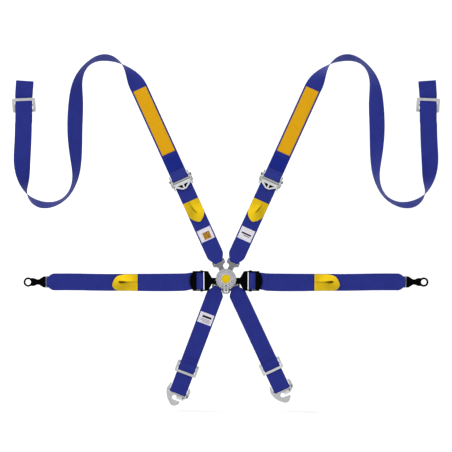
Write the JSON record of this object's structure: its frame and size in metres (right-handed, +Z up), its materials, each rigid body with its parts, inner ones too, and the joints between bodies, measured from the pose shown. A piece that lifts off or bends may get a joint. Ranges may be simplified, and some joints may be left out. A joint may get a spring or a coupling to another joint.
{
  "type": "racing harness",
  "caption": "Six-point racing harness: rotary cam-lock buckle, two shoulder straps with twisted tails, two lap straps with bolt-on eyes and two leg straps with snap hooks.",
  "frame": {"origin": "where the knob's axis meets the flat back of the buckle", "axes": "+Z up along the harness's midline, -Y out of the knob's face towards the viewer, +X along the right lap strap"},
  "size_m": [1.2808, 0.0566, 1.0523],
  "materials": {
    "badge": "gloss",
    "black_metal": "satin powder coat",
    "dial": "satin",
    "label": "printed cloth",
    "patch": "woven patch",
    "pull_loop": "woven polyester, satin",
    "silver": "polished plating",
    "steel": "zinc plated",
    "webbing": "woven polyester, satin"
  },
  "bodies": {
    "buckle": {"buckle_back_plate": "steel", "buckle_housing": "steel", "buckle_spindle": "steel", "housing_screws": "steel", "latch_leaves": "steel", "leg_strap_plate": "steel"},
    "knob": {"knob_dial": "dial", "knob_badge": "badge", "release_lever": "dial", "release_cam": "steel", "knob_spring": "steel"},
    "left_shoulder_tongue": {"left_shoulder_tongue": "steel"},
    "left_shoulder_strap": {"left_shoulder_lower_strap": "webbing", "left_shoulder_label": "label"},
    "left_shoulder_adjuster": {"left_shoulder_adjuster_frame": "silver", "left_shoulder_upper_strap": "webbing", "left_shoulder_patch": "patch", "left_shoulder_free_end": "webbing"},
    "left_shoulder_pull_loop": {"left_shoulder_pull_loop": "pull_loop"},
    "left_shoulder_locking_bar": {"left_shoulder_locking_bar": "silver"},
    "left_shoulder_lever": {"left_shoulder_adjuster_lever": "silver"},
    "left_tail_slide": {"left_tail_slide": "silver"},
    "left_lap_adjuster": {"left_lap_adjuster": "black_metal"},
    "left_lap_lock_bar": {"left_lap_lock_bar": "black_metal"},
    "left_lap_strap": {"left_lap_free_end": "webbing", "left_lap_strap": "webbing"},
    "left_lap_outer": {"left_lap_strap_end": "webbing"},
    "left_lap_pull_loop": {"left_lap_pull_loop": "pull_loop"},
    "left_lap_end_fitting": {"left_lap_end_fitting": "black_metal"},
    "left_leg_strap": {"left_leg_strap": "webbing", "left_leg_label": "label"},
    "left_leg_slide": {"left_leg_slide": "silver"},
    "left_leg_strap_end": {"left_leg_strap_end": "webbing"},
    "left_snap_hook": {"left_snap_hook": "silver", "left_hook_rivets": "silver"},
    "left_hook_gate": {"left_hook_gate": "silver"},
    "right_shoulder_tongue": {"right_shoulder_tongue": "steel"},
    "right_shoulder_strap": {"right_shoulder_lower_strap": "webbing", "right_shoulder_label": "label"},
    "right_shoulder_adjuster": {"right_shoulder_adjuster_frame": "silver", "right_shoulder_upper_strap": "webbing", "right_shoulder_patch": "patch", "right_shoulder_free_end": "webbing"},
    "right_shoulder_pull_loop": {"right_shoulder_pull_loop": "pull_loop"},
    "right_shoulder_locking_bar": {"right_shoulder_locking_bar": "silver"},
    "right_shoulder_lever": {"right_shoulder_adjuster_lever": "silver"},
    "right_tail_slide": {"right_tail_slide": "silver"},
    "right_lap_adjuster": {"right_lap_adjuster": "black_metal"},
    "right_lap_lock_bar": {"right_lap_lock_bar": "black_metal"},
    "right_lap_strap": {"right_lap_free_end": "webbing", "right_lap_strap": "webbing"},
    "right_lap_outer": {"right_lap_strap_end": "webbing"},
    "right_lap_pull_loop": {"right_lap_pull_loop": "pull_loop"},
    "right_lap_end_fitting": {"right_lap_end_fitting": "black_metal"},
    "right_leg_strap": {"right_leg_strap": "webbing"},
    "right_leg_slide": {"right_leg_slide": "silver"},
    "right_leg_strap_end": {"right_leg_strap_end": "webbing"},
    "right_snap_hook": {"right_snap_hook": "silver", "right_hook_rivets": "silver"},
    "right_hook_gate": {"right_hook_gate": "silver"}
  },
  "joints": [
    {"name": "knob_turn", "type": "hinge", "parent": "buckle", "child": "knob", "pos_m": [0, -0.012, 0], "axis": [0, -1, 0], "range_deg": [-45, 45], "stiffness_Nm_per_rad": 0.4, "deforming": ["latch_leaves", "knob_spring"]},
    {"name": "left_shoulder_tongue_release", "type": "slide", "parent": "buckle", "child": "left_shoulder_tongue", "axis": [-0.4147, 0, 0.91], "range_m": [0, 0.016], "deforming": ["latch_leaves"]},
    {"name": "left_shoulder_strap_swing", "type": "hinge", "parent": "left_shoulder_tongue", "child": "left_shoulder_strap", "pos_m": [-0.02385, -0.012, 0.05232], "axis": [0.91, 0, 0.4147], "range_deg": [-60, 60]},
    {"name": "left_shoulder_adjust", "type": "slide", "parent": "left_shoulder_strap", "child": "left_shoulder_adjuster", "axis": [0.4147, 0, -0.91], "range_m": [-0.035, 0.05], "deforming": ["left_shoulder_lower_strap", "left_shoulder_free_end"]},
    {"name": "left_shoulder_pull_loop_travel", "type": "slide", "parent": "left_shoulder_adjuster", "child": "left_shoulder_pull_loop", "axis": [0.4147, 0, -0.91], "range_m": [-0.035, 0.05]},
    {"name": "left_shoulder_lock", "type": "slide", "parent": "left_shoulder_adjuster", "child": "left_shoulder_locking_bar", "axis": [-0.4147, 0, 0.91], "range_m": [0, 0.0018]},
    {"name": "left_shoulder_lever_lift", "type": "hinge", "parent": "left_shoulder_adjuster", "child": "left_shoulder_lever", "pos_m": [-0.13146, -0.0245, 0.28846], "axis": [-0.91, 0, -0.4147], "range_deg": [0, 70]},
    {"name": "left_tail_slide_travel", "type": "slide", "parent": "left_shoulder_adjuster", "child": "left_tail_slide", "axis": [0, 0, -1], "range_m": [0, 0.04]},
    {"name": "left_lap_release", "type": "slide", "parent": "buckle", "child": "left_lap_adjuster", "axis": [-1, 0, -0.007], "range_m": [0, 0.016], "deforming": ["latch_leaves"]},
    {"name": "left_lap_lock", "type": "slide", "parent": "left_lap_adjuster", "child": "left_lap_lock_bar", "axis": [-1, 0, -0.007], "range_m": [0, 0.005]},
    {"name": "left_lap_strap_swing", "type": "hinge", "parent": "left_lap_adjuster", "child": "left_lap_strap", "pos_m": [-0.112, -0.009, -0.00678], "axis": [-0.007, 0, 1], "range_deg": [-40, 40]},
    {"name": "left_lap_adjust", "type": "slide", "parent": "left_lap_strap", "child": "left_lap_outer", "axis": [1, 0, 0.007], "range_m": [-0.12, 0.055], "deforming": ["left_lap_strap", "left_lap_free_end"]},
    {"name": "left_lap_pull_loop_travel", "type": "slide", "parent": "left_lap_strap", "child": "left_lap_pull_loop", "axis": [-1, 0, -0.007], "range_m": [-0.12, 0.055]},
    {"name": "left_lap_end_swing", "type": "hinge", "parent": "left_lap_outer", "child": "left_lap_end_fitting", "pos_m": [-0.53399, -0.00445, -0.00973], "axis": [-0.007, 0, 1], "range_deg": [-40, 40]},
    {"name": "left_leg_strap_swing", "type": "hinge", "parent": "buckle", "child": "left_leg_strap", "pos_m": [-0.026, -0.0015, -0.028], "axis": [-0.9354, 0, 0.3535], "range_deg": [-60, 60]},
    {"name": "left_leg_adjust", "type": "slide", "parent": "left_leg_strap", "child": "left_leg_slide", "axis": [0.3535, 0, 0.9354], "range_m": [-0.03, 0.08], "deforming": ["left_leg_strap", "left_leg_strap_end"]},
    {"name": "left_leg_end_travel", "type": "slide", "parent": "left_leg_slide", "child": "left_leg_strap_end", "axis": [-0.3535, 0, -0.9354], "range_m": [-0.015, 0.04]},
    {"name": "left_hook_swing", "type": "hinge", "parent": "left_leg_strap_end", "child": "left_snap_hook", "pos_m": [-0.14406, 0.00345, -0.34044], "axis": [-0.9354, 0, 0.3535], "range_deg": [-40, 40]},
    {"name": "left_gate_turn", "type": "hinge", "parent": "left_snap_hook", "child": "left_hook_gate", "pos_m": [-0.12959, 0.00345, -0.35873], "axis": [0, -1, 0], "range_deg": [0, 25], "stiffness_Nm_per_rad": 0.05},
    {"name": "right_shoulder_tongue_release", "type": "slide", "parent": "buckle", "child": "right_shoulder_tongue", "axis": [0.4147, 0, 0.91], "range_m": [0, 0.016], "deforming": ["latch_leaves"]},
    {"name": "right_shoulder_strap_swing", "type": "hinge", "parent": "right_shoulder_tongue", "child": "right_shoulder_strap", "pos_m": [0.02385, -0.012, 0.05232], "axis": [0.91, 0, -0.4147], "range_deg": [-60, 60]},
    {"name": "right_shoulder_adjust", "type": "slide", "parent": "right_shoulder_strap", "child": "right_shoulder_adjuster", "axis": [-0.4147, 0, -0.91], "range_m": [-0.035, 0.05], "deforming": ["right_shoulder_lower_strap", "right_shoulder_free_end"]},
    {"name": "right_shoulder_pull_loop_travel", "type": "slide", "parent": "right_shoulder_adjuster", "child": "right_shoulder_pull_loop", "axis": [-0.4147, 0, -0.91], "range_m": [-0.035, 0.05]},
    {"name": "right_shoulder_lock", "type": "slide", "parent": "right_shoulder_adjuster", "child": "right_shoulder_locking_bar", "axis": [0.4147, 0, 0.91], "range_m": [0, 0.0018]},
    {"name": "right_shoulder_lever_lift", "type": "hinge", "parent": "right_shoulder_adjuster", "child": "right_shoulder_lever", "pos_m": [0.13146, -0.0245, 0.28846], "axis": [-0.91, 0, 0.4147], "range_deg": [0, 70]},
    {"name": "right_tail_slide_travel", "type": "slide", "parent": "right_shoulder_adjuster", "child": "right_tail_slide", "axis": [0, 0, -1], "range_m": [0, 0.04]},
    {"name": "right_lap_release", "type": "slide", "parent": "buckle", "child": "right_lap_adjuster", "axis": [1, 0, -0.007], "range_m": [0, 0.016], "deforming": ["latch_leaves"]},
    {"name": "right_lap_lock", "type": "slide", "parent": "right_lap_adjuster", "child": "right_lap_lock_bar", "axis": [1, 0, -0.007], "range_m": [0, 0.005]},
    {"name": "right_lap_strap_swing", "type": "hinge", "parent": "right_lap_adjuster", "child": "right_lap_strap", "pos_m": [0.112, -0.009, -0.00678], "axis": [-0.007, 0, -1], "range_deg": [-40, 40]},
    {"name": "right_lap_adjust", "type": "slide", "parent": "right_lap_strap", "child": "right_lap_outer", "axis": [-1, 0, 0.007], "range_m": [-0.12, 0.055], "deforming": ["right_lap_strap", "right_lap_free_end"]},
    {"name": "right_lap_pull_loop_travel", "type": "slide", "parent": "right_lap_strap", "child": "right_lap_pull_loop", "axis": [1, 0, -0.007], "range_m": [-0.12, 0.055]},
    {"name": "right_lap_end_swing", "type": "hinge", "parent": "right_lap_outer", "child": "right_lap_end_fitting", "pos_m": [0.53399, -0.00445, -0.00973], "axis": [-0.007, 0, -1], "range_deg": [-40, 40]},
    {"name": "right_leg_strap_swing", "type": "hinge", "parent": "buckle", "child": "right_leg_strap", "pos_m": [0.026, -0.0015, -0.028], "axis": [-0.9063, 0, -0.4226], "range_deg": [-60, 60]},
    {"name": "right_leg_adjust", "type": "slide", "parent": "right_leg_strap", "child": "right_leg_slide", "axis": [-0.4226, 0, 0.9063], "range_m": [-0.03, 0.08], "deforming": ["right_leg_strap", "right_leg_strap_end"]},
    {"name": "right_leg_end_travel", "type": "slide", "parent": "right_leg_slide", "child": "right_leg_strap_end", "axis": [0.4226, 0, -0.9063], "range_m": [-0.015, 0.04]},
    {"name": "right_hook_swing", "type": "hinge", "parent": "right_leg_strap_end", "child": "right_snap_hook", "pos_m": [0.16715, 0.00345, -0.33071], "axis": [-0.9063, 0, -0.4226], "range_deg": [-40, 40]},
    {"name": "right_gate_turn", "type": "hinge", "parent": "right_snap_hook", "child": "right_hook_gate", "pos_m": [0.19035, 0.00345, -0.33313], "axis": [0, -1, 0], "range_deg": [0, 25], "stiffness_Nm_per_rad": 0.05}
  ],
  "couplings": [
    {"joint": "left_shoulder_pull_loop_travel", "follows": "left_shoulder_adjust", "ratio": 1},
    {"joint": "left_lap_pull_loop_travel", "follows": "left_lap_adjust", "ratio": 1},
    {"joint": "left_leg_end_travel", "follows": "left_leg_adjust", "ratio": 0.5},
    {"joint": "right_shoulder_pull_loop_travel", "follows": "right_shoulder_adjust", "ratio": 1},
    {"joint": "right_lap_pull_loop_travel", "follows": "right_lap_adjust", "ratio": 1},
    {"joint": "right_leg_end_travel", "follows": "right_leg_adjust", "ratio": 0.5}
  ]
}
